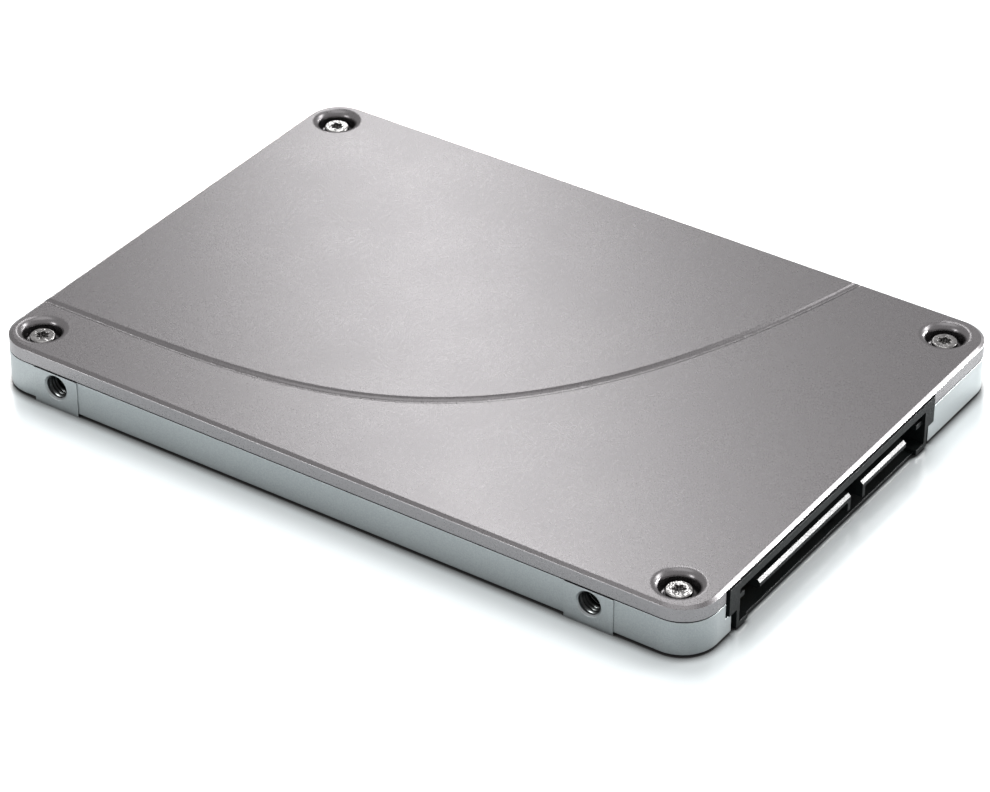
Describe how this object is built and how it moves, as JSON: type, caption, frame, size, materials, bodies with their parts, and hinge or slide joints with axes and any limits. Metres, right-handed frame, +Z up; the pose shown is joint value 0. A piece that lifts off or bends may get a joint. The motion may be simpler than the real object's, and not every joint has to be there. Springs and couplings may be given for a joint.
{
  "type": "solid state drive",
  "caption": "Flat metal-cased storage drive with a curved groove across its lid, dished corner screws, threaded side and bottom mounts and an edge connector.",
  "frame": {"origin": "middle of the overall length and width, on the plane of the four bottom mounting lands", "axes": "+X towards the connector end, +Y to the side of the signal contacts, +Z up through the lid"},
  "size_m": [0.1004, 0.0698, 0.007],
  "materials": {
    "tray_metal": "cast and bead blasted, satin, cool grey",
    "cover_metal": "bead blasted and anodised, satin, neutral grey",
    "screw_steel": "bright nickel plate",
    "connector_plastic": "glass-filled black, semi-gloss",
    "contact_gold": "gold over nickel",
    "tin_plate": "dull tin plate",
    "board_laminate": "green solder mask over glass laminate",
    "film": "thin translucent amber film",
    "heat_pad": "soft silicone, matte",
    "capacitor_resin": "moulded, matte ochre",
    "ceramic": "fired, matte tan",
    "ferrite": "dark, matte",
    "chip_epoxy": "moulded epoxy, matte black"
  },
  "bodies": {
    "root": {"base_tray": "tray_metal", "board_locks": "tin_plate", "board_screws": "screw_steel", "buffer_memory": "chip_epoxy", "capacitor_terminals": "tin_plate", "ceramic_capacitors": "ceramic", "chip_resistors": "chip_epoxy", "circuit_board": "board_laminate", "clock_crystal": "tin_plate", "connector_shell": "connector_plastic", "controller_chip": "chip_epoxy", "controller_heat_pad": "heat_pad", "core_regulator": "chip_epoxy", "cover_screws": "screw_steel", "firmware_chip": "chip_epoxy", "flash_heat_pad_1": "heat_pad", "flash_heat_pad_2": "heat_pad", "flash_package_1": "chip_epoxy", "flash_package_2": "chip_epoxy", "flash_package_3": "chip_epoxy", "flash_package_4": "chip_epoxy", "flash_package_5": "chip_epoxy", "flash_package_6": "chip_epoxy", "flash_package_7": "chip_epoxy", "flash_package_8": "chip_epoxy", "flash_regulator": "chip_epoxy", "holdup_capacitor_1": "capacitor_resin", "holdup_capacitor_2": "capacitor_resin", "holdup_capacitor_3": "capacitor_resin", "holdup_capacitor_4": "capacitor_resin", "holdup_capacitor_5": "capacitor_resin", "holdup_capacitor_6": "capacitor_resin", "input_fuse": "chip_epoxy", "insulating_film": "film", "power_contacts": "contact_gold", "power_inductor_1": "ferrite", "power_inductor_2": "ferrite", "signal_contacts": "contact_gold", "surge_diode": "chip_epoxy", "top_cover": "cover_metal"}
  },
  "joints": []
}
